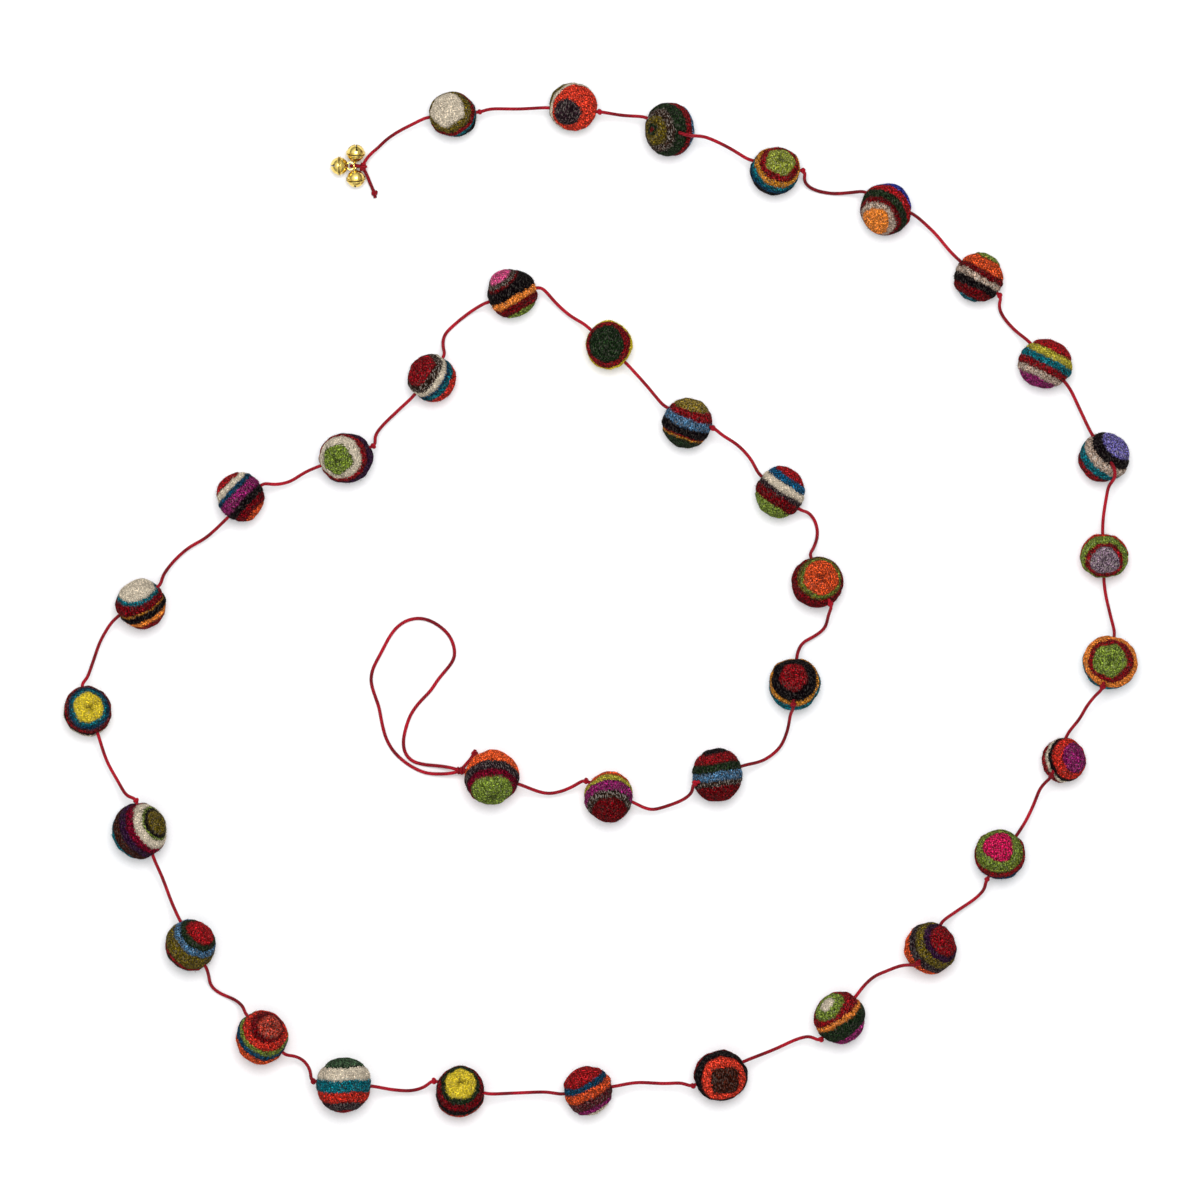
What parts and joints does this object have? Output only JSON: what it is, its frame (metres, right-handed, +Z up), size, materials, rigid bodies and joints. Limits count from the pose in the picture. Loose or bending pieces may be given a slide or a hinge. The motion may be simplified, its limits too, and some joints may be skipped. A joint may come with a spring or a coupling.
{
  "type": "felt ball garland",
  "caption": "Garland of striped wool felt balls threaded on a thin waxed cord with stop knots, small brass bells tied to one end and a hanging loop at the other.",
  "frame": {"origin": "On the table, under the middle of the box round the balls and bells as they lie", "axes": "+Z is up from the table, +X runs along the garland's longer side with the bells to the left of the middle, and +Y runs towards the side with the bells"},
  "size_m": [0.5362, 0.5168, 0.0262],
  "materials": {
    "cream_felt": "fuzzy felted wool, mainly cream, in bands of several colours",
    "orange_felt": "fuzzy felted wool, mainly orange, in bands of several colours",
    "heather_felt": "fuzzy felted wool, mainly grey-brown heather, in bands of several colours",
    "lime_felt": "fuzzy felted wool, mainly lime green, in bands of several colours",
    "crimson_felt": "fuzzy felted wool, mainly crimson, in bands of several colours",
    "black_felt": "fuzzy felted wool, mainly black, in bands of several colours",
    "lavender_felt": "fuzzy felted wool, mainly lavender grey, in bands of several colours",
    "magenta_felt": "fuzzy felted wool, mainly magenta, in bands of several colours",
    "pink_felt": "fuzzy felted wool, mainly hot pink, in bands of several colours",
    "olive_felt": "fuzzy felted wool, mainly olive, in bands of several colours",
    "green_felt": "fuzzy felted wool, mainly dark green, in bands of several colours",
    "yellow_felt": "fuzzy felted wool, mainly yellow, in bands of several colours",
    "teal_felt": "fuzzy felted wool, mainly teal, in bands of several colours",
    "plum_felt": "fuzzy felted wool, mainly dark plum, in bands of several colours",
    "blue_felt": "fuzzy felted wool, mainly steel blue, in bands of several colours",
    "red_cord": "waxed twisted cotton, low sheen",
    "brass": "polished"
  },
  "bodies": {
    "root": {"ball_01": "cream_felt", "ball_02": "orange_felt", "ball_03": "heather_felt", "ball_04": "lime_felt", "ball_05": "crimson_felt", "ball_06": "crimson_felt", "ball_07": "crimson_felt", "ball_08": "black_felt", "ball_09": "lavender_felt", "ball_10": "lime_felt", "ball_11": "magenta_felt", "ball_12": "pink_felt", "ball_13": "olive_felt", "ball_14": "green_felt", "ball_15": "orange_felt", "ball_16": "crimson_felt", "ball_17": "yellow_felt", "ball_18": "teal_felt", "ball_19": "orange_felt", "ball_20": "olive_felt", "ball_21": "plum_felt", "ball_22": "yellow_felt", "ball_23": "crimson_felt", "ball_24": "black_felt", "ball_25": "lime_felt", "ball_26": "crimson_felt", "ball_27": "black_felt", "ball_28": "green_felt", "ball_29": "crimson_felt", "ball_30": "cream_felt", "ball_31": "orange_felt", "ball_32": "black_felt", "ball_33": "blue_felt", "ball_34": "crimson_felt", "ball_35": "lime_felt", "cord": "red_cord", "hanging_loop": "red_cord", "loop_knot": "red_cord", "loop_tail": "red_cord", "bell_knot": "red_cord", "bell_tail": "red_cord", "bell_tie": "red_cord", "bell_1": "brass", "bell_2": "brass", "bell_3": "brass"}
  },
  "joints": []
}
